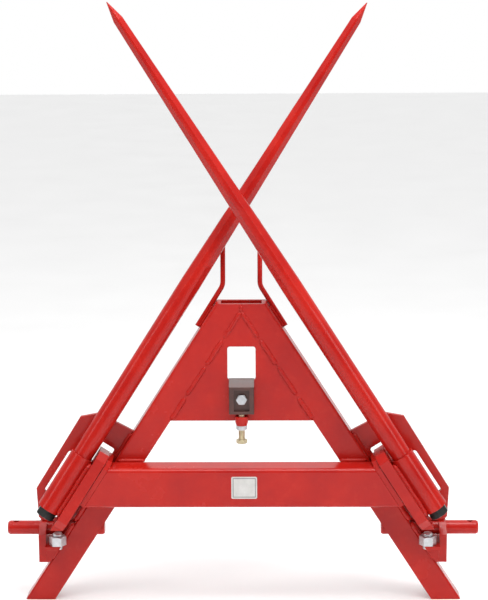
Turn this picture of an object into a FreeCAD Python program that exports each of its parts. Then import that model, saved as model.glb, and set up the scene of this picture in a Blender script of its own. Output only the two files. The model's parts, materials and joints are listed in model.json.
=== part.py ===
"""Folding twin-tine bale spike on an A-frame quick-hitch headstock.

Millimetres. +X is the object's right seen from the load side, +Y points to the tractor and
+Z is up. Depths are counted from the headstock's front face, heights from the ground and
distances across from the middle; each finished piece is then moved by the ground shift.

Each side has its own leaning frame. It is the world frame turned about Y by the lean of
the headstock leg, so that its Z runs up along the leg ("along") and its X points away from
the leg ("out" on the right side, minus "out" on the left side).
"""
import FreeCAD, Part
import math
import os
import Sketcher

os.makedirs("parts", exist_ok=True)

DRIVING_DIMENSIONS = {
    # the finished model is moved back by this much so that it stands centred on the origin
    "ground_shift": -18.47,
    # headstock: two channel legs that open inwards, and the plates between them
    "leg_lean": 32.66,
    "leg_width": 50,
    "leg_depth": 50,
    "leg_wall": 8,
    "leg_lip": 30,
    "leg_bend_radius": 5,
    "foot_inner": 383.6,
    "headstock_height": 613,
    "web_bottom": 375.6,
    "web_thickness": 8,
    "window_width": 56,
    "window_bottom": 459,
    "window_top": 527,
    "window_radius": 5,
    "crown_bottom": 548,
    # cross beam, a rectangular tube with mitred ends
    "beam_height": 80,
    "beam_depth": 60,
    "beam_wall": 5,
    "beam_radius": 8,
    "beam_bottom": 212,
    "beam_overhang": 6,
    "end_plate_thickness": 10,
    "end_plate_top": 113,
    "end_plate_back": 19.8,
    # wing plates behind the tine holders
    "wing_thickness": 10,
    "wing_depth": 20,
    "wing_top_inner": 349,
    "wing_peak_out": 288,
    "wing_peak_up": 386,
    "wing_shoulder_out": 325.6,
    "wing_shoulder_up": 379,
    "wing_corner_out": 418,
    "wing_corner_up": 230,
    "wing_foot_out": 415,
    "wing_foot_up": 170,
    "wing_bottom": 161.4,
    "slot_inner_play": 5.5,
    "slot_step_play": 1.2,
    "slot_outer": 461,
    "slot_bottom": -28,
    "slot_radius": 5,
    "relief_outer": 455,
    "relief_bottom": -49,
    "slot_floor": 166.3,
    # lower link pins and their brackets, category 2
    "pin_diameter": 28,
    "pin_body_diameter": 28.8,
    "pin_depth": 25,
    "pin_height": 145.5,
    "pin_inner": 281,
    "pin_tip": 478,
    "pin_chamfer": 4,
    "linch_hole": 12,
    "linch_out": 461.5,
    "shoulder_out": 412.5,
    "cheek_thickness": 15,
    "cheek_front": -10,
    "cheek_bottom": 83,
    "cheek_nose": 140,
    "cheek_slope": 20,
    "bracket_plate": 8,
    "shelf_top": 122,
    "shelf_front": -31,
    "stud_depth": -15.6,
    "stud_thread": 20,
    "stud_top": 147,
    "stud_nut_across": 30,
    "stud_nut_height": 19,
    # tine rest hoop, bent from round bar
    "hoop_bar": 10,
    "hoop_half": 37,
    "hoop_foot": 563,
    "hoop_top": 779,
    "hoop_corner": 25,
    "hoop_bend": 28,
    "hoop_depth": 30,
    "hoop_tilt": 10.6,
    # tine holders
    "hinge_along": 48,
    "hinge_depth": -30,
    "hinge_pin": 30,
    "hinge_play": 0.06,
    "hinge_thread": 20,
    "hinge_nut_across": 30,
    "hinge_nut_height": 14,
    "bush_diameter": 44,
    "bush_length": 7.5,
    "holder_gap": 1,
    "block_thickness": 21.4,
    "block_front": -62,
    "block_back": 19,
    "block_top": 118,
    "block_bevel_low": 104,
    "block_bevel_depth": 22,
    "heel_height": 163,
    "heel_cut": 40,
    "heel_bevel": 16,
    "socket_diameter": 48.3,
    "socket_depth": -30,
    "socket_tail": -37,
    "socket_mouth": 91,
    "socket_wall": 4.5,
    "tine_fit": 0.2,
    "tine_diameter": 41,
    "tine_swell": 45,
    "tine_thread": 24,
    "tine_taper_start": 500,
    "tine_point_start": 1111,
    "tine_point_radius": 10,
    "tine_end": 1151,
    "tine_nut_across": 36,
    "tine_nut_height": 17,
    "right_rest_lean": 1.5,
    "left_rest_lean": 7,
    # adjustable catch for the quick-hitch pawl
    "catch_width": 50,
    "catch_depth": 22,
    "catch_bottom": 394,
    "catch_front_top": 449,
    "catch_back_top": 463,
    "catch_slope_run": 14,
    "catch_recess": 32,
    "catch_recess_top": 443,
    "catch_recess_bottom": 399,
    "catch_recess_depth": 8,
    "catch_clear": 0.4,
    "catch_bolt_height": 423,
    "catch_rise": 12,
    "catch_drop": 5,
    "bolt_thread": 12,
    "bolt_hole": 13,
    "bolt_across": 19,
    "bolt_head": 7.5,
    "bolt_nut": 10,
    "screw_depth": 13.4,
    "boss_diameter": 26,
    "boss_bottom": 370,
    "boss_top": 388,
    "screw_head_bottom": 333,
    # blank rating label on the beam
    "label_width": 51,
    "label_height": 45,
    "label_thickness": 0.5,
    "label_radius": 3,
    "label_offset": 5,
}

doc = FreeCAD.newDocument("bale_spike")
sheet = doc.addObject("Spreadsheet::Sheet", "dims")
for row_number, (alias, number) in enumerate(DRIVING_DIMENSIONS.items(), start=1):
    sheet.set("A%d" % row_number, alias)
    sheet.set("B%d" % row_number, str(number))
    sheet.setAlias("B%d" % row_number, alias)
doc.recompute()

SIDES = {"left": -1, "right": 1}
WORLD_Y = FreeCAD.Vector(0, 1, 0)
ALIAS_MAP = {alias: "dims." + alias for alias in DRIVING_DIMENSIONS}
subparts = []


def formula(text):
    """Turn "{leg_wall} * 2" into an expression on the sheet."""
    return str(text).format_map(ALIAS_MAP)


def value(text):
    """Number that a formula gives with the present dimensions."""
    result = sheet.evalExpression(formula(text))
    return float(getattr(result, "Value", result))


def bind(feature, **properties):
    """Bind the named properties of a feature to formulas."""
    for name, text in properties.items():
        feature.setExpression(name, formula(text))
    return feature


# ---------------------------------------------------------------- lines used by many outlines

LEAN_TAN = "tan({leg_lean} * 1deg)"
LEAN_COS = "cos({leg_lean} * 1deg)"
LEAN_SIN = "sin({leg_lean} * 1deg)"
OUTER_FACE = "(({foot_inner} * %s) + {leg_width})" % LEAN_COS
BEAM_END = "(%s + {beam_overhang})" % OUTER_FACE
HOLDER_INNER = "(%s + {end_plate_thickness} + {holder_gap})" % BEAM_END
HOLDER_OUTER = "(%s + {block_thickness})" % HOLDER_INNER
SOCKET_OUT = "(%s + {socket_diameter} / 2)" % HOLDER_OUTER
STUD_OUT = "({shoulder_out} - {cheek_thickness} - {stud_nut_across} / 2 / cos(30deg) - 7)"


def edge_at(height, inset="0"):
    """Distance from the middle to the leg's outer face at a height, less an inset."""
    return "((%s - (%s)) / %s - (%s) * %s)" % (OUTER_FACE, inset, LEAN_COS, height, LEAN_TAN)


# ---------------------------------------------------------------- placements

def leaning(side):
    """Placement of a side's leaning frame."""
    return FreeCAD.Placement(FreeCAD.Vector(), FreeCAD.Rotation(WORLD_Y, -side * value("{leg_lean}")))


def rested(side_name):
    """Leaning frame turned back about the hinge until the tine lies on its rest."""
    side = SIDES[side_name]
    hinge = FreeCAD.Vector(side * value(HOLDER_INNER), value("{hinge_depth}"), value("{hinge_along}"))
    lean = -value("{%s_rest_lean}" % side_name)
    turn = FreeCAD.Placement(FreeCAD.Vector(), FreeCAD.Rotation(FreeCAD.Vector(1, 0, 0), lean), hinge)
    return leaning(side).multiply(turn)


def standing(x, y, z):
    """Placement with no turn at a point given by three formulas."""
    return FreeCAD.Placement(FreeCAD.Vector(value(x), value(y), value(z)), FreeCAD.Rotation())


def aimed(x, y, z, direction):
    """Placement at a point with the local Z along a direction."""
    turn = FreeCAD.Rotation(FreeCAD.Vector(0, 0, 1), FreeCAD.Vector(*direction))
    return FreeCAD.Placement(FreeCAD.Vector(value(x), value(y), value(z)), turn)


# ---------------------------------------------------------------- sketch and body helpers

def finish(feature, label, placement=None):
    """Name a sub-part, place it and keep it for export."""
    feature.Label = label
    if placement is not None:
        feature.Placement = placement.multiply(feature.Placement)
    shift = FreeCAD.Placement(FreeCAD.Vector(0, value("{ground_shift}"), 0), FreeCAD.Rotation())
    feature.Placement = shift.multiply(feature.Placement)
    subparts.append(feature)
    return feature


def new_body(name):
    return doc.addObject("PartDesign::Body", name)


def origin_plane(body, role):
    return next(plane for plane in body.Origin.OriginFeatures if plane.Role == role)


def new_sketch(body, role, shift):
    """Sketch on an origin plane of a body, moved along its normal by a formula."""
    sketch = body.newObject("Sketcher::SketchObject", "outline")
    sketch.AttachmentSupport = [(origin_plane(body, role), "")]
    sketch.MapMode = "FlatFace"
    direction = "-1" if role == "XZ_Plane" else "1"
    sketch.setExpression("AttachmentOffset.Base.z", formula("(%s) * %s" % (shift, direction)))
    return sketch


def add_polygon(sketch, corners):
    """Closed polygon whose corners stand at pairs of formulas."""
    points = [FreeCAD.Vector(value(across), value(up), 0) for across, up in corners]
    first_line = sketch.GeometryCount
    for index, point in enumerate(points):
        sketch.addGeometry(Part.LineSegment(point, points[(index + 1) % len(points)]))
    for index, (across, up) in enumerate(corners):
        line = first_line + index
        following = first_line + (index + 1) % len(points)
        sketch.addConstraint(Sketcher.Constraint("Coincident", line, 2, following, 1))
        for kind, text, number in (("DistanceX", across, points[index].x),
                                   ("DistanceY", up, points[index].y)):
            constraint = sketch.addConstraint(Sketcher.Constraint(kind, -1, 1, line, 1, number))
            sketch.setExpression("Constraints[%d]" % constraint, formula(text))


def add_circle(sketch, across, up, radius):
    """Circle whose centre and radius are formulas."""
    centre = FreeCAD.Vector(value(across), value(up), 0)
    circle = sketch.addGeometry(Part.Circle(centre, FreeCAD.Vector(0, 0, 1), value(radius)))
    for constraint, text in ((Sketcher.Constraint("DistanceX", -1, 1, circle, 3, centre.x), across),
                             (Sketcher.Constraint("DistanceY", -1, 1, circle, 3, centre.y), up),
                             (Sketcher.Constraint("Radius", circle, value(radius)), radius)):
        index = sketch.addConstraint(constraint)
        sketch.setExpression("Constraints[%d]" % index, formula(text))


def add_pad(body, sketch, length):
    """Pad to both sides of a sketch."""
    pad = body.newObject("PartDesign::Pad", "pad")
    pad.Profile = sketch
    pad.Midplane = True
    return bind(pad, Length=length)


def add_pocket(body, sketch, length):
    """Pocket to both sides of a sketch, which has to take some material away."""
    doc.recompute()
    before = body.Shape.Volume
    pocket = body.newObject("PartDesign::Pocket", "pocket")
    pocket.Profile = sketch
    pocket.Midplane = True
    bind(pocket, Length=length)
    doc.recompute()
    if body.Shape.Volume >= before:
        raise RuntimeError("a pocket in %s cuts nothing" % body.Name)
    return pocket


def add_fillet(body, radius, wanted):
    """Round the edges of the body's tip for which wanted(edge) is true."""
    doc.recompute()
    base = body.Tip
    names = ["Edge%d" % (i + 1) for i, edge in enumerate(base.Shape.Edges) if wanted(edge)]
    if not names:
        raise RuntimeError("no edge to round in %s" % body.Name)
    fillet = body.newObject("PartDesign::Fillet", "fillet")
    fillet.Base = (base, names)
    return bind(fillet, Radius=radius)


def runs_along(edge, direction):
    """True for a straight edge parallel to a direction."""
    if edge.Curve.TypeId != "Part::GeomLine":
        return False
    return abs(abs(edge.Curve.Direction.dot(FreeCAD.Vector(*direction))) - 1) < 1e-4


def upright_plate(name, corners, middle, thickness, holes=()):
    """Flat plate parallel to the headstock's front, its middle at a depth."""
    body = new_body(name)
    sketch = new_sketch(body, "XZ_Plane", middle)
    add_polygon(sketch, corners)
    for hole in holes:
        add_circle(sketch, *hole)
    add_pad(body, sketch, thickness)
    return body


def cheek_plate(name, corners, middle, thickness, holes=()):
    """Flat plate square to the X axis of its frame, its middle at a distance."""
    body = new_body(name)
    sketch = new_sketch(body, "YZ_Plane", middle)
    add_polygon(sketch, corners)
    for hole in holes:
        add_circle(sketch, *hole)
    add_pad(body, sketch, thickness)
    return body


def mirrored(corners, side):
    """The same outline on the given side of the middle."""
    return [("%d * (%s)" % (side, across), up) for across, up in corners]


# ---------------------------------------------------------------- primitive helpers

def rod(name, radius, length, start="0"):
    """Cylinder along local Z that starts at a height of its own."""
    cylinder = bind(doc.addObject("Part::Cylinder", name), Radius=radius, Height=length)
    if start != "0":
        cylinder.setExpression("Placement.Base.z", formula(start))
    return cylinder


def taper(name, low_radius, high_radius, length, start="0"):
    """Cone frustum along local Z."""
    cone = bind(doc.addObject("Part::Cone", name), Radius1=low_radius, Radius2=high_radius, Height=length)
    cone.setExpression("Placement.Base.z", formula(start))
    return cone


def union(name, *solids):
    fuse = doc.addObject("Part::MultiFuse", name)
    fuse.Shapes = list(solids)
    fuse.Refine = True
    return fuse


def minus(name, base, tool):
    cut = doc.addObject("Part::Cut", name)
    cut.Base = base
    cut.Tool = tool
    return cut


def overlap(name, first, second):
    common = doc.addObject("Part::MultiCommon", name)
    common.Shapes = [first, second]
    return common


def hexagon(name, across, height, start="0"):
    """Hexagon bar along local Z with its far corners chamfered at 30 degrees."""
    corner = "(%s) / 2 / cos(30deg)" % across
    prism = bind(doc.addObject("Part::Prism", name + "_bar"), Circumradius=corner, Height=height)
    prism.Polygon = 6
    prism.setExpression("Placement.Base.z", formula(start))
    washer_face = "(%s) * 0.475" % across
    skirt = "(%s) + (%s) * tan(60deg)" % (washer_face, height)
    chamfer = taper(name + "_chamfer", skirt, washer_face, height, start)
    return overlap(name, prism, chamfer)


def hexagon_nut(name, across, height, thread, start="0"):
    """Nut along local Z."""
    bore = rod(name + "_bore", "(%s) / 2" % thread, "(%s) + 2" % height, start="(%s) - 1" % start)
    return minus(name, hexagon(name + "_blank", across, height, start), bore)


def hexagon_bolt(name, across, head, thread, length):
    """Bolt with its seat at local Z = 0, its head above it and its shank below it."""
    shank_radius = "(%s) / 2 - 0.05" % thread
    shank = rod(name + "_shank", shank_radius, "(%s) - 1.5" % length, start="-(%s) + 1.5" % length)
    tip = taper(name + "_tip", "(%s) / 2 - 1.5" % thread, shank_radius, "1.5", "-(%s)" % length)
    return union(name, hexagon(name + "_head", across, head), shank, tip)


# ---------------------------------------------------------------- headstock

def make_leg(side_name):
    """Channel that opens inwards: front flange, outer wall and a rear lip."""
    side = SIDES[side_name]
    body = new_body(side_name + "_leg_body")
    top = "{headstock_height}"
    inner_at_foot = "{foot_inner}"
    apex = "{foot_inner} / %s" % LEAN_TAN
    outline = [(inner_at_foot, "0"), (edge_at("0"), "0"), (edge_at(top), top), ("0.15", top),
               ("0.15", apex + " - 0.15 / %s" % LEAN_TAN)]
    sketch = new_sketch(body, "XZ_Plane", "{leg_depth} / 2")
    add_polygon(sketch, mirrored(outline, side))
    add_pad(body, sketch, "{leg_depth}")
    doc.recompute()
    sloping = (side * math.sin(math.radians(value("{leg_lean}"))), 0,
               -math.cos(math.radians(value("{leg_lean}"))))
    add_fillet(body, "{leg_bend_radius}", lambda edge: runs_along(edge, sloping)
               and abs(edge.CenterOfMass.x * side - value(edge_at("%f" % edge.CenterOfMass.z))) < 0.01)
    hollow = [("-20", "-20"), (edge_at("-20", "{leg_wall}"), "-20"),
              (edge_at(top + " + 20", "{leg_wall}"), top + " + 20"), ("-20", top + " + 20")]
    inside = new_sketch(body, "XZ_Plane", "{leg_depth} / 2")
    add_polygon(inside, mirrored(hollow, side))
    add_pocket(body, inside, "{leg_depth} - 2 * {leg_wall}")
    opening = [("-20", "-20"), (edge_at("-20", "{leg_lip}"), "-20"),
               (edge_at(top + " + 20", "{leg_lip}"), top + " + 20"), ("-20", top + " + 20")]
    behind = new_sketch(body, "XZ_Plane", "{leg_depth}")
    add_polygon(behind, mirrored(opening, side))
    add_pocket(body, behind, "2 * {leg_wall} + 0.5")
    hole = new_sketch(body, "YZ_Plane", "%d * %s" % (side, edge_at("{pin_height}")))
    add_circle(hole, "{pin_depth}", "{pin_height}", "{pin_body_diameter} / 2 + 0.1")
    add_pocket(body, hole, "60")
    finish(body, side_name + "_leg")


def make_web_plate():
    """Triangular plate between the legs with the latch window and the catch bolt's slot."""
    half_bottom = "({foot_inner} - {web_bottom} * %s - 0.15)" % LEAN_TAN
    apex = "({foot_inner} - 0.15) / %s" % LEAN_TAN
    corners = [("-" + half_bottom, "{web_bottom}"), (half_bottom, "{web_bottom}"), ("0", apex)]
    body = upright_plate("web_plate_body", corners, "{web_thickness} / 2", "{web_thickness}")
    window = new_sketch(body, "XZ_Plane", "{web_thickness} / 2")
    half = "{window_width} / 2"
    add_polygon(window, [("-" + half, "{window_bottom}"), (half, "{window_bottom}"),
                         (half, "{window_top}"), ("-" + half, "{window_top}")])
    add_pocket(body, window, "{web_thickness} + 4")
    add_fillet(body, "{window_radius}", lambda edge: runs_along(edge, (0, 1, 0))
               and abs(abs(edge.CenterOfMass.x) - value(half)) < 0.01)
    slot = new_sketch(body, "XZ_Plane", "{web_thickness} / 2")
    slot_half = "{bolt_hole} / 2"
    slot_low = "{catch_bolt_height} - {catch_drop} - 0.5 - {bolt_hole} / 2"
    slot_high = "{catch_bolt_height} + {catch_rise} + 0.5 + {bolt_hole} / 2"
    add_polygon(slot, [("-" + slot_half, slot_low), (slot_half, slot_low),
                       (slot_half, slot_high), ("-" + slot_half, slot_high)])
    add_pocket(body, slot, "{web_thickness} + 4")
    finish(body, "web_plate")


def make_crown_plate():
    """Plate that closes the back of the headstock's top between the two lips."""
    low = "{crown_bottom}"
    top = "{headstock_height}"
    low_half = edge_at(low, "{leg_lip} + 0.2")
    top_half = edge_at(top, "{leg_lip} + 0.2")
    corners = [("-" + low_half, low), (low_half, low), (top_half, top), ("-" + top_half, top)]
    middle = "{leg_depth} - {leg_wall} / 2"
    finish(upright_plate("crown_body", corners, middle, "{leg_wall}"), "crown_plate")


# ---------------------------------------------------------------- cross beam

def make_beam():
    """Rectangular tube with ends cut parallel to the legs."""
    low = "{beam_bottom}"
    high = "{beam_bottom} + {beam_height}"
    past = "0.1 - {beam_overhang}"
    corners = [("-" + edge_at(low, past), low), (edge_at(low, past), low),
               (edge_at(high, past), high), ("-" + edge_at(high, past), high)]
    body = upright_plate("beam_body", corners, "-{beam_depth} / 2", "{beam_depth}")
    add_fillet(body, "{beam_radius}", lambda edge: runs_along(edge, (1, 0, 0)))
    bore = new_sketch(body, "YZ_Plane", "0")
    near = "-{beam_wall}"
    far = "-{beam_depth} + {beam_wall}"
    bottom = "{beam_bottom} + {beam_wall}"
    top = "{beam_bottom} + {beam_height} - {beam_wall}"
    add_polygon(bore, [(near, bottom), (near, top), (far, top), (far, bottom)])
    add_pocket(body, bore, "3 * {foot_inner}")
    add_fillet(body, "{beam_radius} - {beam_wall}", lambda edge: runs_along(edge, (1, 0, 0))
               and -value("{beam_depth}") + 1 < edge.CenterOfMass.y < -1
               and value(bottom) - 1 < edge.CenterOfMass.z < value(top) + 1
               and abs(abs(edge.CenterOfMass.y + value("{beam_depth}") / 2)
                       - (value("{beam_depth}") / 2 - value("{beam_wall}"))) < 0.1)
    finish(body, "cross_beam")


def make_beam_end(side_name):
    """Fixed hinge plate on the beam's mitred end; it rises past the beam and reaches the wing."""
    side = SIDES[side_name]
    middle = "%d * (%s + {end_plate_thickness} / 2 + 0.1)" % (side, BEAM_END)
    half_height = "{beam_height} / 2 / %s" % LEAN_COS
    centre = "(({beam_bottom} + {beam_height} / 2) - %s * %s) / %s" % (BEAM_END, LEAN_SIN, LEAN_COS)
    low = centre + " - " + half_height + " + 1"
    corners = [("-{beam_depth} + 0.5", low), ("-0.5", low), ("{end_plate_back}", low + " + 20"),
               ("{end_plate_back}", "{end_plate_top}"), ("-{beam_depth} + 0.5 + 20", "{end_plate_top}"),
               ("-{beam_depth} + 0.5", "{end_plate_top} - 14")]
    hole = ("{hinge_depth}", "{hinge_along}", "{hinge_pin} / 2 + {hinge_play}")
    body = cheek_plate(side_name + "_end_body", corners, middle, "{end_plate_thickness}", [hole])
    finish(body, side_name + "_beam_end_plate", leaning(side))


# ---------------------------------------------------------------- wing plates

def make_wing(side_name):
    """Backing plate outside the leg with the stepped window that the folded tail passes."""
    side = SIDES[side_name]
    corners = [(edge_at("{wing_top_inner}", "-0.1"), "{wing_top_inner}"),
               ("{wing_peak_out}", "{wing_peak_up}"), ("{wing_shoulder_out}", "{wing_shoulder_up}"),
               ("{wing_corner_out}", "{wing_corner_up}"), ("{wing_foot_out}", "{wing_foot_up}"),
               ("{wing_foot_out} - 7", "{wing_bottom}"),
               (edge_at("{wing_bottom}", "-0.1"), "{wing_bottom}")]
    middle = "{wing_depth} + {wing_thickness} / 2"
    body = upright_plate(side_name + "_wing_body", mirrored(corners, side), middle, "{wing_thickness}")
    window = new_sketch(body, "XZ_Plane", middle)
    inner = "(%s - {slot_inner_play})" % HOLDER_INNER
    step = "(%s + {slot_step_play})" % HOLDER_OUTER
    stop = "({hinge_along} + {socket_depth} - {hinge_depth} + {socket_diameter} / 2 + 0.4)"
    swing = "(({block_back} - {hinge_depth})^2 + ({block_top} - {hinge_along})^2)"
    roof = "({hinge_along} + sqrt(%s - ({wing_depth} - {hinge_depth})^2) + 6.2)" % swing
    leaning_corners = [(inner, "(({slot_floor} - %s * %s) / %s)" % (inner, LEAN_SIN, LEAN_COS)),
                       (step, "(({slot_floor} - %s * %s) / %s)" % (step, LEAN_SIN, LEAN_COS)),
                       (step, "{relief_bottom}"), ("{relief_outer}", "{relief_bottom}"),
                       ("{relief_outer}", "{slot_bottom}"), ("{slot_outer}", "{slot_bottom}"),
                       ("{slot_outer}", stop), (step, stop), (step, roof), (inner, roof)]
    outline = [("%s * %s - (%s) * %s" % (out, LEAN_COS, along, LEAN_SIN),
                "%s * %s + (%s) * %s" % (out, LEAN_SIN, along, LEAN_COS))
               for out, along in leaning_corners]
    add_polygon(window, mirrored(outline, side))
    add_pocket(body, window, "{wing_thickness} + 4")

    def window_corner(edge):
        point = edge.CenterOfMass
        lean = math.radians(value("{leg_lean}"))
        out = side * point.x * math.cos(lean) + point.z * math.sin(lean)
        at_stop = abs(out - value("{slot_outer}")) < 0.5
        at_roof = point.z > value("{wing_corner_up}") and abs(out - value(inner)) < 0.5
        at_relief = abs(out - value("{relief_outer}")) < 0.5 and point.z < value("{slot_bottom} + 235")
        return runs_along(edge, (0, 1, 0)) and (at_stop or at_roof or at_relief)

    add_fillet(body, "{slot_radius}", window_corner)
    finish(body, side_name + "_wing_plate")


# ---------------------------------------------------------------- lower link pins

def make_link_pin(side_name):
    """Shouldered pin along X with chamfered ends and a vertical linch pin hole."""
    side = SIDES[side_name]
    chamfer = "{pin_chamfer}"
    body_radius = "{pin_body_diameter} / 2"
    end_radius = "{pin_diameter} / 2"
    body_length = "({shoulder_out} - {pin_inner} - {pin_chamfer})"
    end_length = "({pin_tip} - {shoulder_out} - {pin_chamfer})"
    inner_end = taper(side_name + "_pin_in", body_radius + " - {pin_chamfer} * 0.6", body_radius, chamfer)
    inner = rod(side_name + "_pin_mid", body_radius, body_length, start=chamfer)
    outer = rod(side_name + "_pin_stub", end_radius, end_length, start="%s + {pin_chamfer}" % body_length)
    outer_end = taper(side_name + "_pin_out", end_radius, end_radius + " - {pin_chamfer} * 0.6", chamfer,
                      "%s + %s + {pin_chamfer}" % (body_length, end_length))
    bar = union(side_name + "_pin_bar", inner_end, inner, outer, outer_end)
    bar.Placement = aimed("%d * {pin_inner}" % side, "{pin_depth}", "{pin_height}", (side, 0, 0))
    hole = rod(side_name + "_pin_hole", "{linch_hole} / 2", "2 * {pin_diameter}")
    hole.Placement = standing("%d * {linch_out}" % side, "{pin_depth}", "{pin_height} - {pin_diameter}")
    finish(minus(side_name + "_pin_drilled", bar, hole), side_name + "_lower_link_pin")


def make_pin_cheek(side_name):
    """Outer plate that carries the pin, with a sloping nose at its top front corner."""
    side = SIDES[side_name]
    back = "{leg_depth}"
    top = "{wing_bottom} - 0.3"
    corners = [("{cheek_front}", "{cheek_bottom}"), (back, "{cheek_bottom}"), (back, top),
               ("{cheek_front} + {cheek_slope}", top), ("{cheek_front}", "{cheek_nose}")]
    middle = "%d * ({shoulder_out} - {cheek_thickness} / 2)" % side
    hole = ("{pin_depth}", "{pin_height}", "{pin_body_diameter} / 2 + 0.1")
    body = cheek_plate(side_name + "_cheek_body", corners, middle, "{cheek_thickness}", [hole])
    finish(body, side_name + "_pin_cheek")


def make_bracket(side_name):
    """Front plate and shelf that tie the cheek to the leg; the shelf holds the stud."""
    side = SIDES[side_name]
    inside_cheek = "({shoulder_out} - {cheek_thickness} - 0.1)"
    low = "{cheek_bottom}"
    under = "{shelf_top} - {bracket_plate} - 0.1"
    front = [(edge_at(low, "-0.2"), low), (inside_cheek, low), (inside_cheek, under),
             (edge_at(under, "-0.2"), under)]
    middle = "{cheek_front} + {bracket_plate} / 2"
    body = upright_plate(side_name + "_front_body", mirrored(front, side), middle, "{bracket_plate}")
    finish(body, side_name + "_bracket_front")
    top = "{shelf_top}"
    bottom = "{shelf_top} - {bracket_plate}"
    shelf = [(edge_at(bottom, "-0.2"), bottom), (inside_cheek, bottom), (inside_cheek, top),
             (edge_at(top, "-0.2"), top)]
    depth = "({leg_depth} - {shelf_front})"
    centre = "({leg_depth} + {shelf_front}) / 2"
    slab = upright_plate(side_name + "_shelf_body", mirrored(shelf, side), centre, depth)
    bore = new_sketch(slab, "XY_Plane", top)
    add_circle(bore, "%d * %s" % (side, STUD_OUT), "{stud_depth}", "{stud_thread} / 2 + 0.05")
    add_pocket(slab, bore, "4 * {bracket_plate}")
    finish(slab, side_name + "_bracket_shelf")


def make_bracket_studs():
    """Threaded studs in the bracket shelves and their nuts."""
    nuts = []
    studs = []
    bottom = "({shelf_top} - {bracket_plate})"
    for side_name, side in SIDES.items():
        out = "%d * %s" % (side, STUD_OUT)
        nut = hexagon_nut(side_name + "_stud_nut", "{stud_nut_across}", "{stud_nut_height}",
                          "{stud_thread} + 0.1")
        nut.Placement = standing(out, "{stud_depth}", "{shelf_top} + 0.05")
        nuts.append(nut)
        length = "({stud_top} - %s - 2)" % bottom
        shank = rod(side_name + "_stud_shank", "{stud_thread} / 2", length)
        end = taper(side_name + "_stud_end", "{stud_thread} / 2", "{stud_thread} / 2 - 2", "2", length)
        stud = union(side_name + "_stud", shank, end)
        stud.Placement = standing(out, "{stud_depth}", bottom)
        studs.append(stud)
    for label, solids in (("bracket_stud_nuts", nuts), ("bracket_studs", studs)):
        group = doc.addObject("Part::Compound", label + "_group")
        group.Links = solids
        finish(group, label)


# ---------------------------------------------------------------- tine rest hoop

def rounded_path(points, radii):
    """Wire of straight runs through the points, with an arc at each inner point."""
    edges = []
    start = points[0]
    for before, corner, after, radius in zip(points, points[1:], points[2:], radii):
        to_before = (before - corner).normalize()
        to_after = (after - corner).normalize()
        half = to_before.getAngle(to_after) / 2
        reach = radius / math.tan(half)
        first = corner + to_before * reach
        last = corner + to_after * reach
        centre = corner + (to_before + to_after).normalize() * (radius / math.sin(half))
        middle = centre + (corner - centre).normalize() * radius
        edges.append(Part.LineSegment(start, first).toShape())
        edges.append(Part.Arc(first, middle, last).toShape())
        start = last
    edges.append(Part.LineSegment(start, points[-1]).toShape())
    return Part.Wire(edges)


def make_hoop():
    """Round bar that runs up both legs' outer faces, stands up, leans back and closes on top."""
    bar = value("{hoop_bar}")
    half = value("{hoop_half}")
    depth = value("{hoop_depth}")
    clear = "-{hoop_bar} / 2 - 0.1"
    foot = value("{hoop_foot}")
    foot_out = value(edge_at("{hoop_foot}", clear))
    knee = (value("(%s + {hoop_bar} / 2 + 0.1) / %s" % (OUTER_FACE, LEAN_COS)) - half) / value(LEAN_TAN)
    top = value("{hoop_top}")
    right_points = [(foot_out, foot), (half, knee), (half, top)]
    outline = right_points + [(-out, up) for out, up in reversed(right_points)]
    tilt = math.tan(math.radians(value("{hoop_tilt}")))
    points = [FreeCAD.Vector(out, depth + (up - foot) * tilt, up) for out, up in outline]
    bend = value("{hoop_bend}")
    corner = value("{hoop_corner}")
    path = rounded_path(points, [bend, corner, corner, bend])
    start = (points[1] - points[0]).normalize()
    ring = Part.Wire(Part.Circle(points[0], start, bar / 2).toShape())
    hoop = doc.addObject("Part::Feature", "hoop_sweep")
    hoop.Shape = path.makePipeShell([ring], True, False)
    finish(hoop, "tine_rest_hoop")


# ---------------------------------------------------------------- tine holders

def make_hinge(side_name):
    """Hinge pin with its threaded inner end, the nut and the bush inside the beam's end."""
    side = SIDES[side_name]
    frame = rested(side_name)
    axis = (side, 0, 0)
    seat = "(%s - {bush_length} - 0.6)" % BEAM_END
    stub = "({hinge_nut_height} + 2)"
    barrel = rod(side_name + "_hinge_barrel", "{hinge_pin} / 2", "%s - 1 - %s" % (HOLDER_OUTER, seat),
                 start=stub)
    thread = rod(side_name + "_hinge_thread", "{hinge_thread} / 2", stub + " + 1")
    pin = union(side_name + "_hinge_shape", barrel, thread)
    pin.Placement = aimed("%d * (%s - %s)" % (side, seat, stub), "{hinge_depth}", "{hinge_along}", axis)
    finish(pin, side_name + "_hinge_pin", frame)
    nut = hexagon_nut(side_name + "_hinge_hex", "{hinge_nut_across}", "{hinge_nut_height}",
                      "{hinge_thread} + 0.1")
    nut.Placement = aimed("%d * (%s - {hinge_nut_height} - 0.05)" % (side, seat), "{hinge_depth}",
                          "{hinge_along}", axis)
    finish(nut, side_name + "_hinge_nut", frame)
    shell = rod(side_name + "_bush_shell", "{bush_diameter} / 2", "{bush_length}")
    bore = rod(side_name + "_bush_bore", "{hinge_pin} / 2 + {hinge_play}", "{bush_length} + 2", start="-1")
    bush = minus(side_name + "_bush", shell, bore)
    bush.Placement = aimed("%d * (%s - {bush_length})" % (side, BEAM_END), "{hinge_depth}",
                           "{hinge_along}", axis)
    finish(bush, side_name + "_hinge_bush", leaning(side))


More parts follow.
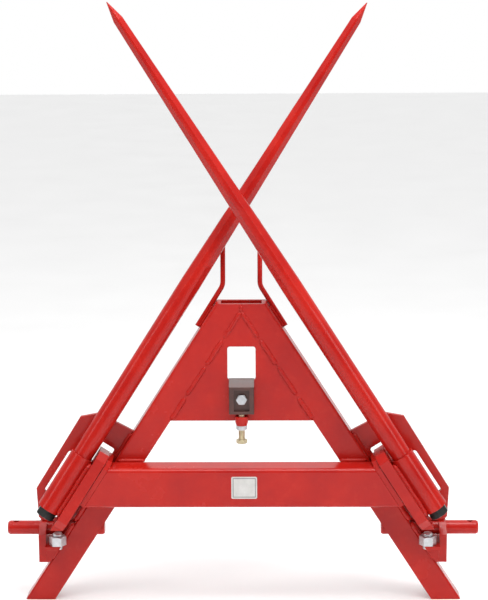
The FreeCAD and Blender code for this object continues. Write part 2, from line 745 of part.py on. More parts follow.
def make_hinge_block(side_name):
    """Thick plate beside the socket that turns on the hinge pin; its heel is cut level."""
    side = SIDES[side_name]
    heel = "(({heel_height} - %s * %s) / %s)" % (HOLDER_INNER, LEAN_SIN, LEAN_COS)
    lowest = heel + " - 30"
    corners = [("{block_front} + {block_bevel_depth}", lowest), ("{block_back} - {heel_cut}", lowest),
               ("{block_back}", "%s + {heel_cut}" % lowest), ("{block_back}", "{block_top}"),
               ("{block_front} + {block_bevel_depth}", "{block_top}"), ("{block_front}", "{block_bevel_low}"),
               ("{block_front}", "%s + {heel_bevel}" % heel), ("{block_front} + 14", heel)]
    middle = "%d * (%s + {block_thickness} / 2)" % (side, HOLDER_INNER)
    hole = ("{hinge_depth}", "{hinge_along}", "{hinge_pin} / 2 + 0.02")
    body = cheek_plate(side_name + "_block_body", corners, middle, "{block_thickness}", [hole])
    level = new_sketch(body, "XZ_Plane", "0")
    drop = "{block_thickness} * %s" % LEAN_TAN
    cut = [(HOLDER_INNER + " - 1", heel + " + 1 * %s" % LEAN_TAN),
           (HOLDER_OUTER + " + 1", "%s - %s - 1 * %s" % (heel, drop, LEAN_TAN)),
           (HOLDER_OUTER + " + 1", lowest + " - 40"), (HOLDER_INNER + " - 1", lowest + " - 40")]
    add_polygon(level, mirrored(cut, side))
    add_pocket(body, level, "400")
    finish(body, side_name + "_hinge_block", rested(side_name))


def make_socket(side_name):
    """Tube with a tapered bore that grips the tine's cone."""
    side = SIDES[side_name]
    length = "({socket_mouth} - {socket_tail})"
    shell = rod(side_name + "_socket_shell", "{socket_diameter} / 2", length)
    low = "{tine_thread} / 2 + {tine_fit} + 1"
    high = "{socket_diameter} / 2 - {socket_wall}"
    bore = taper(side_name + "_socket_bore", low, high, length + " + 0.02", "-0.01")
    socket = minus(side_name + "_socket_cut", shell, bore)
    socket.Placement = standing("%d * %s" % (side, SOCKET_OUT), "{socket_depth}", "{socket_tail}")
    finish(socket, side_name + "_socket", rested(side_name))


def make_tine(side_name):
    """Forged spike: thread, cone, round shaft, then a tapering shaft with four flats."""
    side = SIDES[side_name]
    full = "{tine_diameter} / 2"
    neck = "({socket_diameter} / 2 - {socket_wall} - {tine_fit})"
    point = "{tine_point_radius}"
    thread_end = "({socket_tail} - {tine_nut_height} - 3)"
    swell_end = "({socket_mouth} + {tine_swell})"
    stages = [
        rod(side_name + "_thread", "{tine_thread} / 2", "({tine_nut_height} + 3)", start=thread_end),
        taper(side_name + "_cone", "{tine_thread} / 2 + 1", neck, "{socket_mouth} - {socket_tail}",
              "{socket_tail}"),
        taper(side_name + "_swell", neck, full, "{tine_swell}", "{socket_mouth}"),
        rod(side_name + "_shaft", full, "{tine_taper_start} - %s" % swell_end, start=swell_end),
        taper(side_name + "_long_taper", full, point, "{tine_point_start} - {tine_taper_start}",
              "{tine_taper_start}"),
        taper(side_name + "_point", point, "0.8", "{tine_end} - {tine_point_start}", "{tine_point_start}"),
    ]
    round_tine = union(side_name + "_round_tine", *stages)
    sections = []
    for index, (height, corner) in enumerate(((thread_end + " - 5", "{tine_diameter}"),
                                              ("{tine_taper_start} - 90", "{tine_diameter} * 0.71"),
                                              ("{tine_point_start}", "{tine_point_radius} * 1.2"),
                                              ("{tine_end} + 1", "0.85"))):
        square = bind(doc.addObject("Part::RegularPolygon", "%s_square%d" % (side_name, index)),
                      Circumradius=corner)
        square.Polygon = 4
        square.setExpression("Placement.Base.z", formula(height))
        sections.append(square)
    flats = doc.addObject("Part::Loft", side_name + "_flats")
    flats.Sections = sections
    flats.Solid = True
    flats.Ruled = True
    tine = overlap(side_name + "_forged", round_tine, flats)
    tine.Placement = standing("%d * %s" % (side, SOCKET_OUT), "{socket_depth}", "0")
    finish(tine, side_name + "_tine", rested(side_name))


def make_tine_nut(side_name):
    """Nut that pulls the tine's cone into the socket."""
    side = SIDES[side_name]
    nut = hexagon_nut(side_name + "_tail_hex", "{tine_nut_across}", "{tine_nut_height}",
                      "{tine_thread} + 0.1")
    quarter = FreeCAD.Placement(FreeCAD.Vector(), FreeCAD.Rotation(FreeCAD.Vector(0, 0, 1), 90))
    place = aimed("%d * %s" % (side, SOCKET_OUT), "{socket_depth}", "{socket_tail} - 0.1", (0, 0, -1))
    nut.Placement = place.multiply(quarter)
    finish(nut, side_name + "_tine_nut", rested(side_name))


# ---------------------------------------------------------------- adjustable catch

def make_catch_block():
    """Block with a sloping top for the pawl, recessed for the bolt that clamps it."""
    front = "-{catch_depth} - {catch_clear}"
    back = "-{catch_clear}"
    corners = [(front, "{catch_bottom}"), (back, "{catch_bottom}"), (back, "{catch_back_top}"),
               (front + " + {catch_slope_run}", "{catch_back_top}"), (front, "{catch_front_top}")]
    body = cheek_plate("catch_body", corners, "0", "{catch_width}")
    recess = new_sketch(body, "XZ_Plane", front)
    half = "{catch_recess} / 2"
    add_polygon(recess, [("-" + half, "{catch_recess_bottom}"), (half, "{catch_recess_bottom}"),
                         (half, "{catch_recess_top}"), ("-" + half, "{catch_recess_top}")])
    add_pocket(body, recess, "2 * {catch_recess_depth}")
    bore = new_sketch(body, "XZ_Plane", "-{catch_depth} / 2")
    add_circle(bore, "0", "{catch_bolt_height}", "{bolt_hole} / 2")
    add_pocket(body, bore, "3 * {catch_depth}")
    add_fillet(body, "2", lambda edge: runs_along(edge, (0, 0, 1))
               and abs(abs(edge.CenterOfMass.x) - value("{catch_width} / 2")) < 0.01
               and edge.CenterOfMass.y < -value("{catch_depth}"))
    finish(body, "catch_block")


def make_catch_fasteners():
    """Bolt through block and plate, with a washer and a nut behind the plate."""
    seat = "-{catch_depth} - {catch_clear} + {catch_recess_depth} - 0.05"
    grip = "({catch_depth} - {catch_recess_depth} + {catch_clear} + {web_thickness} + 3 + {bolt_nut} + 4)"
    bolt = hexagon_bolt("catch_bolt_solid", "{bolt_across}", "{bolt_head}", "{bolt_thread}", grip)
    bolt.Placement = aimed("0", seat, "{catch_bolt_height}", (0, -1, 0))
    finish(bolt, "catch_bolt")
    disc = rod("washer_disc", "{bolt_across} * 0.63", "2.5")
    hole = rod("washer_hole", "{bolt_hole} / 2", "4", start="-1")
    washer = minus("washer_ring", disc, hole)
    washer.Placement = aimed("0", "{web_thickness} + 0.3", "{catch_bolt_height}", (0, 1, 0))
    finish(washer, "catch_washer")
    nut = hexagon_nut("catch_nut_solid", "{bolt_across}", "{bolt_nut}", "{bolt_thread} + 0.1")
    nut.Placement = aimed("0", "{web_thickness} + 2.9", "{catch_bolt_height}", (0, 1, 0))
    finish(nut, "catch_nut")


def make_screw_boss():
    """Round threaded boss on the web plate's lower edge, coned at its bottom."""
    radius = "{boss_diameter} / 2"
    height = "({boss_top} - {boss_bottom})"
    upper = rod("boss_upper", radius, height + " * 0.6", start=height + " * 0.4")
    lower = taper("boss_lower", "{boss_diameter} * 0.42", radius, height + " * 0.4")
    bore = rod("boss_bore", "{bolt_thread} / 2 + 0.05", height + " + 2", start="-1")
    boss = minus("boss_cut", union("boss_blank", upper, lower), bore)
    boss.Placement = standing("0", "-{screw_depth}", "{boss_bottom}")
    finish(boss, "screw_boss")


def make_adjusting_screw():
    """Hexagon screw, head down, whose tip carries the catch block, and its lock nut."""
    reach = "({catch_bottom} - {screw_head_bottom} - {bolt_head} - 0.3)"
    screw = hexagon_bolt("screw_solid", "{bolt_across}", "{bolt_head}", "{bolt_thread}", reach)
    screw.Placement = aimed("0", "-{screw_depth}", "{screw_head_bottom} + {bolt_head}", (0, 0, -1))
    finish(screw, "adjusting_screw")
    nut = hexagon_nut("lock_nut_solid", "{bolt_across}", "{bolt_nut} - 1", "{bolt_thread} + 0.1")
    nut.Placement = aimed("0", "-{screw_depth}", "{boss_bottom} - 0.1", (0, 0, -1))
    finish(nut, "lock_nut")


def make_label():
    """Blank label on the beam's front face."""
    half = "{label_width} / 2"
    middle_height = "({beam_bottom} + {beam_height} / 2 + 2)"
    low = middle_height + " - {label_height} / 2"
    high = middle_height + " + {label_height} / 2"
    left = "{label_offset} - " + half
    right = "{label_offset} + " + half
    corners = [(left, low), (right, low), (right, high), (left, high)]
    middle = "-{beam_depth} - {label_thickness} / 2"
    body = upright_plate("label_body", corners, middle, "{label_thickness}")
    add_fillet(body, "{label_radius}", lambda edge: runs_along(edge, (0, 1, 0)))
    finish(body, "blank_label")


# ---------------------------------------------------------------- assembly

make_web_plate()
make_crown_plate()
make_beam()
make_hoop()
make_bracket_studs()
make_catch_block()
make_catch_fasteners()
make_screw_boss()
make_adjusting_screw()
make_label()
for name_of_side in SIDES:
    make_leg(name_of_side)
    make_beam_end(name_of_side)
    make_wing(name_of_side)
    make_link_pin(name_of_side)
    make_pin_cheek(name_of_side)
    make_bracket(name_of_side)
    make_hinge(name_of_side)
    make_hinge_block(name_of_side)
    make_socket(name_of_side)
    make_tine(name_of_side)
    make_tine_nut(name_of_side)
doc.recompute()

for item in doc.Objects:
    if "Invalid" in item.State or "Error" in item.State:
        raise RuntimeError("%s failed: %s" % (item.Name, item.State))
for subpart in subparts:
    if subpart.Shape.isNull() or not subpart.Shape.isValid() or not subpart.Shape.Solids:
        raise RuntimeError("%s has no valid solid" % subpart.Label)
    subpart.Shape.exportStep("parts/%s.step" % subpart.Label)
    print(subpart.Label, len(subpart.Shape.Solids), round(subpart.Shape.Volume))
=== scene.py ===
"""Looks for the folding bale spike headstock: paint, zinc, welds and threads."""
import json
import math

import bpy
from mathutils import Matrix, Vector, noise


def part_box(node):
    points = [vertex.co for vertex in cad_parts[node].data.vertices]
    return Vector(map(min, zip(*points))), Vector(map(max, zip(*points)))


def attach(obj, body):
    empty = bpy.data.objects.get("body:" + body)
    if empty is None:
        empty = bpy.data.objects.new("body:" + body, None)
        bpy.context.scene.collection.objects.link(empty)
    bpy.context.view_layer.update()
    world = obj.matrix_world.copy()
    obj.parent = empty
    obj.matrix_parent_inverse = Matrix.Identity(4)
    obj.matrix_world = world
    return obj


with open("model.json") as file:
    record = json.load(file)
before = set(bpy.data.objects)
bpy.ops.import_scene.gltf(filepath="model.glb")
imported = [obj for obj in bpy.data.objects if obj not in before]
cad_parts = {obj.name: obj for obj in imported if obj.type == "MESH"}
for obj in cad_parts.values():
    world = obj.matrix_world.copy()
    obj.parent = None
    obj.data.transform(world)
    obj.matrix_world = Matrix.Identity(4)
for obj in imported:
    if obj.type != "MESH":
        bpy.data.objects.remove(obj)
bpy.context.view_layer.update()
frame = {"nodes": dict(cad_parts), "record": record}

# ---------------------------------------------------------------- the frame's own measures

# Metres. A side's leaning frame has three directions: out is square to the leg, along runs up
# it, and depth counts back from the front plane of the legs.
LEAN = math.radians(32.66)
LEG_INNER = 0.3229
LEG_OUTER = 0.3729
BEAM_END = 0.3789
HOLDER_OUTER = 0.4113
BEAM_BOTTOM = 0.212
BEAM_TOP = 0.292
HINGE_ALONG = 0.048
HINGE_DEPTH = -0.030
PIN_DEPTH = 0.025
PIN_HEIGHT = 0.1455
REST_LEAN = {"right": math.radians(1.5), "left": math.radians(7.0)}
SIDES = {"left": -1, "right": 1}
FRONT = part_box("left_leg")[0][1]
OUTWARD = Vector((0, -1, 0))
UPWARD = Vector((0, 0, 1))


def on_side(side_name, out, depth, along):
    """Point in the shared frame from a place in one side's leaning frame."""
    side = SIDES[side_name]
    across = out * math.cos(LEAN) - along * math.sin(LEAN)
    up = out * math.sin(LEAN) + along * math.cos(LEAN)
    return Vector((side * across, FRONT + depth, up))


def on_arm(side_name, out, depth, along):
    """The same for a point of the folded tine's holder, which leans back about its hinge."""
    lean = REST_LEAN[side_name]
    back = depth - HINGE_DEPTH
    rise = along - HINGE_ALONG
    depth = HINGE_DEPTH + back * math.cos(lean) + rise * math.sin(lean)
    along = HINGE_ALONG + rise * math.cos(lean) - back * math.sin(lean)
    return on_side(side_name, out, depth, along)


# ---------------------------------------------------------------- materials

class Nodes:
    """Short names for building a material's node tree."""

    def __init__(self, name):
        self.material = bpy.data.materials.new(name)
        self.material.use_nodes = True
        self.tree = self.material.node_tree
        self.shader = self.tree.nodes["Principled BSDF"]
        self.place = self.add("ShaderNodeTexCoord").outputs["Object"]

    def add(self, kind, **inputs):
        node = self.tree.nodes.new(kind)
        for key, item in inputs.items():
            self.feed(node.inputs[key.replace("_", " ")], item)
        return node

    def feed(self, socket, item):
        if isinstance(item, bpy.types.NodeSocket):
            self.tree.links.new(item, socket)
        else:
            socket.default_value = item

    def noise(self, scale, detail=4.0, rough=0.55, place=None):
        node = self.add("ShaderNodeTexNoise", Vector=place or self.place, Scale=scale,
                        Detail=detail, Roughness=rough)
        return node.outputs["Fac"]

    def spread(self, factor, low, high, to_low=0.0, to_high=1.0):
        node = self.add("ShaderNodeMapRange", Value=factor, From_Min=low, From_Max=high,
                        To_Min=to_low, To_Max=to_high)
        return node.outputs["Result"]

    def math(self, operation, first, second=0.0):
        node = self.tree.nodes.new("ShaderNodeMath")
        node.operation = operation
        node.use_clamp = operation in ("MULTIPLY", "ADD")
        self.feed(node.inputs[0], first)
        self.feed(node.inputs[1], second)
        return node.outputs[0]

    def mix(self, factor, first, second):
        node = self.tree.nodes.new("ShaderNodeMix")
        node.data_type = "RGBA"
        self.feed(node.inputs["Factor"], factor)
        self.feed(node.inputs[6], first)
        self.feed(node.inputs[7], second)
        return node.outputs[2]

    def edges(self, radius):
        """Rounded normal, and a mask that is 1 on sharp outer edges and in corners."""
        bevel = self.add("ShaderNodeBevel", Radius=radius)
        bevel.samples = 6
        flat = self.add("ShaderNodeNewGeometry").outputs["Normal"]
        product = self.tree.nodes.new("ShaderNodeVectorMath")
        product.operation = "DOT_PRODUCT"
        self.feed(product.inputs[0], bevel.outputs["Normal"])
        self.feed(product.inputs[1], flat)
        mask = self.spread(product.outputs["Value"], 0.995, 0.90)
        return bevel.outputs["Normal"], mask

    def bump(self, height, strength, distance, normal=None):
        node = self.add("ShaderNodeBump", Height=height, Strength=strength, Distance=distance)
        if normal is not None:
            self.feed(node.inputs["Normal"], normal)
        return node.outputs["Normal"]


def red_paint(name, rough_extra=0.0, tip_above=None, lumpy=0.0):
    """Thick glossy red enamel: orange peel, dust with a painted mottled reflection, edges lightened
    partly as thin paint and partly as a painted highlight, a bare tip if asked.
    """
    n = Nodes(name)
    rounded, edge = n.edges(0.0016)
    cloud = n.noise(9.0, 5.0, 0.6)
    fine = n.noise(70.0, 4.0, 0.6)
    deep_red = (0.400, 0.0095, 0.0075, 1)
    full_red = (0.520, 0.0150, 0.0085, 1)
    dust_and_sheen_red = (0.660, 0.0500, 0.0300, 1)
    base = n.mix(n.spread(cloud, 0.35, 0.68), deep_red, full_red)
    # pinkish lightening mixed in by noise: partly dust, partly a painted mottled reflection
    base = n.mix(n.math("MULTIPLY", n.spread(fine, 0.55, 0.75), 0.14), base, dust_and_sheen_red)
    # lighter orange on edges and in corners: partly thin paint, partly a painted edge highlight
    edge_wear_and_highlight = n.math("MULTIPLY", edge, n.spread(fine, 0.42, 0.62))
    base = n.mix(n.math("MULTIPLY", edge_wear_and_highlight, 0.28), base, (0.760, 0.1300, 0.0800, 1))
    chip_spots = n.spread(n.noise(160.0, 3.0, 0.7), 0.690, 0.72)
    chips = n.math("MULTIPLY", n.math("MULTIPLY", edge, chip_spots), 0.7)
    base = n.mix(chips, base, (0.220, 0.160, 0.140, 1))
    rough = n.spread(cloud, 0.3, 0.7, 0.16 + rough_extra, 0.30 + rough_extra)
    if tip_above is not None:
        split = n.add("ShaderNodeSeparateXYZ", Vector=n.place).outputs["Z"]
        ragged = n.math("ADD", split, n.spread(n.noise(90.0), 0.0, 1.0, -0.006, 0.006))
        bare = n.spread(ragged, tip_above - 0.004, tip_above + 0.006)
        base = n.mix(bare, base, (0.060, 0.042, 0.038, 1))
    ripple = n.noise(420.0, 2.0, 0.4)
    peel = n.math("ADD", ripple, n.math("MULTIPLY", n.noise(60.0, 2.0), 0.6 + lumpy))
    normal = n.bump(peel, 0.16 + lumpy, 0.0006, rounded)
    n.feed(n.shader.inputs["Base Color"], base)
    n.feed(n.shader.inputs["Roughness"], rough)
    n.feed(n.shader.inputs["Normal"], normal)
    n.shader.inputs["Coat Weight"].default_value = 0.06
    n.shader.inputs["Coat Roughness"].default_value = 0.08
    n.shader.inputs["Specular IOR Level"].default_value = 0.26
    return n.material


def metal(name, low, high, rough_low, rough_high, metallic=1.0, rust=0.0):
    """Plated or oiled steel with mottling, a fine grain and a touch of rust."""
    n = Nodes(name)
    rounded, edge = n.edges(0.0008)
    mottle = n.noise(55.0, 5.0, 0.65)
    base = n.mix(n.spread(mottle, 0.35, 0.65), low + (1,), high + (1,))
    bright = tuple(min(1.0, c * 1.5 + 0.02) for c in high)
    base = n.mix(n.math("MULTIPLY", edge, 0.6), base, bright + (1,))
    if rust:
        spots = n.spread(n.noise(130.0, 5.0, 0.7), 0.60, 0.70)
        base = n.mix(n.math("MULTIPLY", spots, rust), base, (0.17, 0.07, 0.03, 1))
    n.feed(n.shader.inputs["Base Color"], base)
    n.feed(n.shader.inputs["Roughness"], n.spread(mottle, 0.3, 0.7, rough_low, rough_high))
    n.feed(n.shader.inputs["Normal"], n.bump(n.noise(1040.0, 3.0, 0.6), 0.25, 0.0002, rounded))
    n.shader.inputs["Metallic"].default_value = metallic
    return n.material


def brown_primer():
    """Satin brown finish of the catch block, rubbed paler on its edges."""
    n = Nodes("brown_primer")
    rounded, edge = n.edges(0.0012)
    cloud = n.noise(45.0, 5.0, 0.65)
    base = n.mix(n.spread(cloud, 0.35, 0.65), (0.050, 0.014, 0.011, 1), (0.095, 0.030, 0.022, 1))
    base = n.mix(n.math("MULTIPLY", edge, 0.55), base, (0.220, 0.110, 0.090, 1))
    n.feed(n.shader.inputs["Base Color"], base)
    n.feed(n.shader.inputs["Roughness"], n.spread(cloud, 0.3, 0.7, 0.34, 0.50))
    n.feed(n.shader.inputs["Normal"], n.bump(n.noise(500.0, 3.0), 0.3, 0.0004, rounded))
    n.shader.inputs["Coat Weight"].default_value = 0.25
    n.shader.inputs["Coat Roughness"].default_value = 0.25
    return n.material


def label_film():
    """Blank pale film with a thin dark frame line and faint wipe marks."""
    n = Nodes("label_film")
    low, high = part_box("blank_label")
    centre_x = (low[0] + high[0]) / 2
    centre_z = (low[2] + high[2]) / 2
    split = n.add("ShaderNodeSeparateXYZ", Vector=n.place)
    dx = n.math("ABSOLUTE", n.math("SUBTRACT", split.outputs["X"], centre_x))
    dz = n.math("ABSOLUTE", n.math("SUBTRACT", split.outputs["Z"], centre_z))
    inset = n.math("MAXIMUM", n.math("SUBTRACT", dx, (high[0] - low[0]) / 2),
                   n.math("SUBTRACT", dz, (high[2] - low[2]) / 2))
    line = n.math("MULTIPLY", n.spread(inset, -0.0044, -0.0040), n.spread(inset, -0.0026, -0.0030))
    wipe = n.noise(60.0, 4.0)
    base = n.mix(n.spread(wipe, 0.3, 0.7), (0.56, 0.55, 0.53, 1), (0.70, 0.69, 0.67, 1))
    base = n.mix(n.math("MULTIPLY", line, 0.85), base, (0.05, 0.05, 0.055, 1))
    n.feed(n.shader.inputs["Base Color"], base)
    n.feed(n.shader.inputs["Roughness"], n.spread(wipe, 0.3, 0.7, 0.35, 0.5))
    n.feed(n.shader.inputs["Normal"], n.bump(n.noise(300.0), 0.1, 0.0003))
    return n.material


PAINT = red_paint("red_paint")
WELD_PAINT = red_paint("red_paint_weld", 0.04, lumpy=0.5)
TINE_PAINT = red_paint("red_paint_tine", 0.02, tip_above=1.184)
ZINC = metal("zinc", (0.46, 0.47, 0.49), (0.66, 0.67, 0.70), 0.30, 0.46)
YELLOW_ZINC = metal("yellow_zinc", (0.50, 0.43, 0.27), (0.68, 0.60, 0.42), 0.30, 0.45)
BARE_STEEL = metal("bare_steel", (0.20, 0.19, 0.18), (0.36, 0.34, 0.32), 0.35, 0.55, rust=0.35)
BLACK_STEEL = metal("black_steel", (0.012, 0.013, 0.013), (0.030, 0.031, 0.030), 0.32, 0.50,
                    metallic=0.7)
PRIMER = brown_primer()
LABEL = label_film()
BY_SLOT = {"red_paint": PAINT, "brown_primer": PRIMER, "zinc": ZINC, "yellow_zinc": YELLOW_ZINC,
           "bare_steel": BARE_STEEL, "black_steel": BLACK_STEEL, "label_film": LABEL}


def dress(obj, material):
    """Give an object one material."""
    obj.data.materials.clear()
    obj.data.materials.append(material)


for entry in frame["record"]["subparts"]:
    dress(frame["nodes"][entry["node"]], BY_SLOT[entry["material_slot"]])
for side_name in SIDES:
    dress(frame["nodes"][side_name + "_tine"], TINE_PAINT)

# smooth shading on round faces, crisp edges kept
for obj in frame["nodes"].values():
    for polygon in obj.data.polygons:
        polygon.use_smooth = True
    split_edges = obj.modifiers.new("crisp_edges", "EDGE_SPLIT")
    split_edges.split_angle = math.radians(28)

# ---------------------------------------------------------------- weld beads

BEAD_RING = 14
BEAD_STEP = 0.0007


def resample(points, step):
    """Points about one step apart along straight runs through the given points."""
    dense = [points[0]]
    for start, end in zip(points, points[1:]):
        count = max(1, round((end - start).length / step))
        dense += [start.lerp(end, k / count) for k in range(1, count + 1)]
    return dense


def bead(points, radius, seed, flatten=None, pitch=0.0042):
    """Vertices and faces of a weld bead: overlapping scales along a path, tapered at its ends."""
    line = resample([Vector(p) for p in points], BEAD_STEP)
    vertices = []
    faces = []
    total = len(line)
    for index, point in enumerate(line):
        ahead = line[min(index + 1, total - 1)]
        behind = line[max(index - 1, 0)]
        forward = (ahead - behind).normalized()
        if flatten is None:
            side = forward.orthogonal().normalized()
        else:
            side = forward.cross(flatten).normalized()
        up = side.cross(forward).normalized()
        travelled = index * BEAD_STEP
        wobble = noise.noise(Vector((travelled * 60 + seed * 9.1, seed * 3.7, 0.3)))
        swell = 1 + 0.16 * noise.noise(Vector((travelled * 45, seed * 5.3, 1.7)))
        phase = (travelled / pitch + 0.25 * wobble) % 1.0
        scale = 1 + 0.13 * (1 - phase) ** 2 - 0.05
        from_end = min(index, total - 1 - index) * BEAD_STEP
        scale *= math.sqrt(max(0.04, min(1.0, from_end / (radius * 1.2))))
        shift = side * (wobble * radius * 0.16)
        for k in range(BEAD_RING):
            angle = 2 * math.pi * k / BEAD_RING
            offset = side * math.cos(angle) + up * math.sin(angle) * 0.82
            lag = -forward * (abs(math.cos(angle)) * pitch * 0.35)
            vertices.append(point + shift + offset * radius * swell * scale + lag)
    for index in range(total - 1):
        start = index * BEAD_RING
        following = (index + 1) * BEAD_RING
        for k in range(BEAD_RING):
            k2 = (k + 1) % BEAD_RING
            faces.append((start + k, start + k2, following + k2, following + k))
    faces.append(tuple(reversed(range(BEAD_RING))))
    faces.append(tuple((total - 1) * BEAD_RING + k for k in range(BEAD_RING)))
    return vertices, faces


def build(name, parts, body, material):
    """One smooth mesh object from lists of vertices and faces, riding on a body."""
    vertices = []
    faces = []
    for more_vertices, more_faces in parts:
        start = len(vertices)
        vertices += more_vertices
        faces += [tuple(start + i for i in face) for face in more_faces]
    mesh = bpy.data.meshes.new(name)
    mesh.from_pydata([tuple(v) for v in vertices], [], faces)
    mesh.validate()
    for polygon in mesh.polygons:
        polygon.use_smooth = True
    obj = bpy.data.objects.new(name, mesh)
    bpy.context.scene.collection.objects.link(obj)
    dress(obj, material)
    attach(obj, body)
    return obj


def along_at(out, height):
    """How far along the leaning frame a height is reached at a distance out."""
    return (height - out * math.sin(LEAN)) / math.cos(LEAN)


def seam(side_name, edge, proud, depth, heights):
    """Run up a leaning edge between two heights, standing proud of the edge."""
    return [on_side(side_name, edge + proud, depth, along_at(edge, height)) for height in heights]


def web_seams(side_name, seed):
    """The web plate between the legs, stitched from runs of uneven length."""
    runs = ((0.378, 0.424), (0.428, 0.487), (0.490, 0.541), (0.546, 0.598))
    beads = []
    for run, heights in enumerate(runs):
        radius = 0.0044 + 0.0007 * ((run + SIDES[side_name]) % 2)
        path = seam(side_name, LEG_INNER, 0.0, 0.0006, heights)
        beads.append(bead(path, radius, seed + 70 + run, OUTWARD))
    return beads


def beam_seams(side_name, seed):
    """The leg and the beam's upper and lower back edges."""
    far = LEG_OUTER - 0.004
    beads = []
    for height, lift in ((BEAM_TOP, 0.0016), (BEAM_BOTTOM, -0.0016)):
        inner = on_side(side_name, LEG_INNER, -0.0018, along_at(LEG_INNER, height))
        outer = on_side(side_name, far, -0.0018, along_at(far, height))
        inner.z = outer.z = height + lift
        beads.append(bead([inner, outer], 0.0042, seed + 5))
    return beads


def plate_seams(side_name, seed):
    """The wing plate and the bracket's front plate on the leg, and the leg's corner fillet."""
    wing = seam(side_name, LEG_OUTER, 0.0012, 0.0188, (0.166, 0.344))
    bracket = seam(side_name, LEG_OUTER, 0.0004, -0.0030, (0.086, 0.111))
    beads = [bead(wing, 0.0046, seed + 11), bead(bracket, 0.0048, seed + 17)]
    for run, heights in enumerate(((0.124, 0.162), (0.166, 0.207))):
        fillet = seam(side_name, LEG_OUTER, 0.0022, 0.0034, heights)
        beads.append(bead(fillet, 0.0058, seed + 19 + run))
    return beads


def hinge_plate_seam(side_name, seed):
    """The fixed hinge plate and the beam's top."""
    along = along_at(BEAM_END, BEAM_TOP + 0.0005)
    path = [on_side(side_name, BEAM_END, depth, along) for depth in (-0.053, -0.008)]
    return [bead(path, 0.0026, seed + 29)]


def hoop_seams(side_name, seed):
    """The hoop's foot on the leg's outer face, one run before it and one behind."""
    tilt = math.tan(math.radians(10.6))
    foot_height = 0.563
    foot_depth = 0.030
    beads = []
    for gap in (-0.0042, 0.0042):
        path = []
        for height in (0.566, 0.606):
            depth = foot_depth + (height - foot_height) * tilt + gap
            along = along_at(LEG_OUTER + 0.005, height)
            path.append(on_side(side_name, LEG_OUTER + 0.0014, depth, along))
        beads.append(bead(path, 0.0026, seed + 31 + gap))
    return beads


def pin_seam(side_name, seed):
    """The lower link pin where it leaves the cheek, open across the top near the cheek's edge."""
    steps = 48
    reach = 0.0146
    ring = []
    for k in range(steps):
        angle = 2 * math.pi * k / steps
        ring.append(Vector((SIDES[side_name] * 0.4130,
                            FRONT + PIN_DEPTH + reach * math.cos(angle),
                            PIN_HEIGHT + reach * math.sin(angle))))
    return [bead(ring[20:] + ring[:5], 0.0019, seed + 37)]


def boss_seam(side_name, seed):
    """The screw boss under the web plate."""
    path = [Vector((SIDES[side_name] * 0.0108, FRONT - 0.0018, z)) for z in (0.3775, 0.3875)]
    return [bead(path, 0.0030, seed + 41)]


def crown_seams():
    """The legs' meeting line in front, and the crown plate's two sides at the back."""
    apex = [Vector((0.0, FRONT + 0.0004, z)) for z in (0.598, 0.6115)]
    beads = [bead(apex, 0.0036, 47, OUTWARD)]
    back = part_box("crown_plate")[1][1]
    for side in (-1, 1):
        path = [Vector((side * 0.0535, back, 0.551)), Vector((side * 0.0165, back, 0.609))]
        beads.append(bead(path, 0.0028, 50 + side))
    return beads


def holder_seams(side_name):
    """The socket on the hinge block, in front and behind."""
    beads = []
    for place in (-1, 1):
        depth = HINGE_DEPTH + place * 0.0168
        path = [on_arm(side_name, HOLDER_OUTER + 0.0022, depth, along) for along in (-0.035, 0.088)]
        beads.append(bead(path, 0.0068, 61 + place, pitch=0.0060))
    return beads


headstock_beads = []
for side_name, side in SIDES.items():
    for make_seams in (web_seams, beam_seams, plate_seams, hinge_plate_seam, hoop_seams,
                       pin_seam, boss_seam):
        headstock_beads += make_seams(side_name, 3 + side)
headstock_beads += crown_seams()
build("headstock_weld_beads", headstock_beads, "headstock", WELD_PAINT)

for side_name in SIDES:
    build(side_name + "_holder_weld_beads", holder_seams(side_name), side_name + "_tine_arm",
          WELD_PAINT)

# ---------------------------------------------------------------- threads

THREAD_STEPS = 28
THREAD_ROOT = -0.0003
# a ridge's section: rise over the given radius, and place along the pitch
THREAD_PROFILE = ((-0.0002, -0.46), (0.00042, -0.08), (0.00042, 0.08), (-0.0002, 0.46))


def thread(centre, radius, pitch, length):
    """Ridge of a screw thread wound about an upright axis, upward from a centre."""
    across = UPWARD.orthogonal().normalized()
    other = UPWARD.cross(across)
    size = len(THREAD_PROFILE)
    total = int(length / pitch * THREAD_STEPS)
    vertices = []
    faces = []
    for index in range(total + 1):
        turns = index / THREAD_STEPS
        angle = 2 * math.pi * index / THREAD_STEPS
        fade = min(1.0, turns * 2, (total - index) / THREAD_STEPS * 2)
        outward = across * math.cos(angle) + other * math.sin(angle)
        for rise, advance in THREAD_PROFILE:
            reach = radius + THREAD_ROOT + (rise - THREAD_ROOT) * fade
            vertices.append(centre + outward * reach + UPWARD * (pitch * (turns + advance)))
    for index in range(total):
        first = index * size
        for k in range(size):
            k2 = (k + 1) % size
            faces.append((first + k, first + k2, first + size + k2, first + size + k))
    faces.append(tuple(reversed(range(size))))
    faces.append(tuple(total * size + k for k in range(size)))
    return vertices, faces


screw_low, screw_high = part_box("adjusting_screw")
screw_base = Vector((0, (screw_low[1] + screw_high[1]) / 2, 0.3424))
build("adjusting_screw_thread", [thread(screw_base, 0.00595, 0.00175, 0.0170)], "screw",
      YELLOW_ZINC)

stud_parts = []
studs_low, studs_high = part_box("bracket_studs")
stud_x = studs_high[0] - 0.0100
stud_y = (studs_low[1] + studs_high[1]) / 2
for side in (-1, 1):
    stud_parts.append(thread(Vector((side * stud_x, stud_y, 0.1413)), 0.0100, 0.0015, 0.0040))
build("bracket_stud_threads", stud_parts, "headstock", ZINC)

# ---------------------------------------------------------------- floor, light and camera

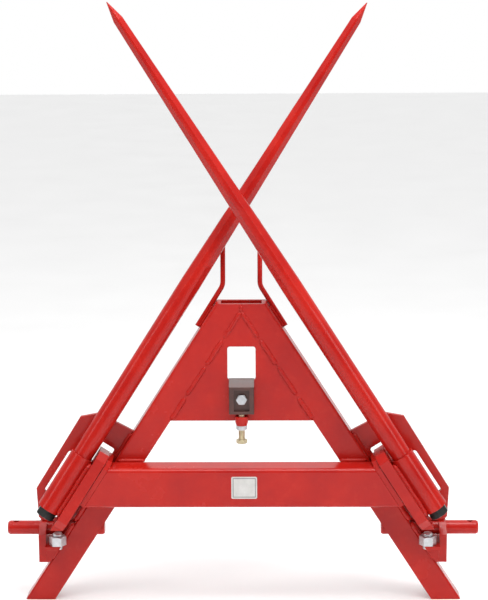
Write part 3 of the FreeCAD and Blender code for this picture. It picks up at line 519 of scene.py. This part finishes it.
floor_mesh = bpy.data.meshes.new("floor")
FLOOR_HALF = 14
corner_signs = ((-1, -1), (1, -1), (1, 1), (-1, 1))
floor_corners = [(x * FLOOR_HALF, y * FLOOR_HALF, 0) for x, y in corner_signs]
floor_mesh.from_pydata(floor_corners, [], [(0, 1, 2, 3)])
floor = bpy.data.objects.new("floor", floor_mesh)
bpy.context.scene.collection.objects.link(floor)
floor_nodes = Nodes("floor_pale")
tone = floor_nodes.mix(floor_nodes.spread(floor_nodes.noise(3.0), 0.3, 0.7),
                       (0.86, 0.86, 0.86, 1), (0.90, 0.90, 0.90, 1))
floor_nodes.feed(floor_nodes.shader.inputs["Base Color"], tone)
floor_nodes.shader.inputs["Roughness"].default_value = 0.8
floor_nodes.shader.inputs["Emission Color"].default_value = (1, 1, 1, 1)
floor_nodes.shader.inputs["Emission Strength"].default_value = 0.12
floor_mesh.materials.append(floor_nodes.material)

world = bpy.data.worlds.new("studio")
world.use_nodes = True
world_tree = world.node_tree


def world_math(operation, first, second):
    """Arithmetic node in the world's tree."""
    node = world_tree.nodes.new("ShaderNodeMath")
    node.operation = operation
    for socket, item in zip(node.inputs, (first, second)):
        if isinstance(item, bpy.types.NodeSocket):
            world_tree.links.new(item, socket)
        else:
            socket.default_value = item
    return node.outputs[0]


def world_ramp(value, low, high, most):
    """Smooth rise from nothing at low to most at high."""
    node = world_tree.nodes.new("ShaderNodeMapRange")
    node.interpolation_type = "SMOOTHSTEP"
    world_tree.links.new(value, node.inputs["Value"])
    node.inputs["From Min"].default_value = low
    node.inputs["From Max"].default_value = high
    node.inputs["To Max"].default_value = most
    return node.outputs["Result"]


# a dim room in front of the object, a bright ceiling and a bright backdrop, seen as plain white
direction = world_tree.nodes.new("ShaderNodeSeparateXYZ")
toward = world_tree.nodes.new("ShaderNodeTexCoord").outputs["Generated"]
world_tree.links.new(toward, direction.inputs[0])
glow = world_math("ADD", world_ramp(direction.outputs["Z"], 0.15, 0.85, 0.75),
                  world_ramp(direction.outputs["Y"], -0.1, 0.7, 0.55))
glow = world_math("ADD", glow, 0.10)
plain = world_tree.nodes.new("ShaderNodeMix")
seen = world_tree.nodes.new("ShaderNodeLightPath").outputs["Is Camera Ray"]
world_tree.links.new(seen, plain.inputs["Factor"])
world_tree.links.new(glow, plain.inputs["A"])
plain.inputs["B"].default_value = 1.0
world_tree.links.new(plain.outputs["Result"], world_tree.nodes["Background"].inputs["Strength"])
world_tree.nodes["Background"].inputs["Color"].default_value = (1.0, 1.0, 1.0, 1)
bpy.context.scene.world = world
bpy.context.scene.view_settings.view_transform = "Standard"


def area_light(name, place, target, size, power):
    """Rectangular lamp at a place, aimed at a target."""
    light = bpy.data.lights.new(name, "AREA")
    light.shape = "RECTANGLE"
    light.size = size[0]
    light.size_y = size[1]
    light.energy = power
    lamp = bpy.data.objects.new(name, light)
    bpy.context.scene.collection.objects.link(lamp)
    lamp.location = place
    lamp.rotation_euler = (Vector(target) - Vector(place)).to_track_quat("-Z", "Y").to_euler()


area_light("top_softbox", (0.3, -0.9, 3.2), (0, 0, 0.4), (2.2, 1.4), 70)
area_light("right_softbox", (2.8, -1.9, 1.7), (0, 0, 0.5), (0.9, 2.0), 22)
area_light("left_strip", (-2.6, -1.6, 1.5), (0, 0, 0.5), (0.4, 2.0), 12)

camera_data = bpy.data.cameras.new("camera")
camera_data.sensor_fit = "HORIZONTAL"
CAMERA_ROLL = math.radians(-0.342)
camera_data.sensor_width = 36.0
camera_data.lens = 132.9
camera = bpy.data.objects.new("camera", camera_data)
bpy.context.scene.collection.objects.link(camera)
camera.location = (0.0617, -3.4958 + FRONT, 1.2834)
aim = Vector((0.00584, FRONT, 0.6212)) - camera.location
turn = aim.to_track_quat("-Z", "Y").to_matrix() @ Matrix.Rotation(CAMERA_ROLL, 3, "Z")
camera.rotation_euler = turn.to_euler()
bpy.context.scene.camera = camera
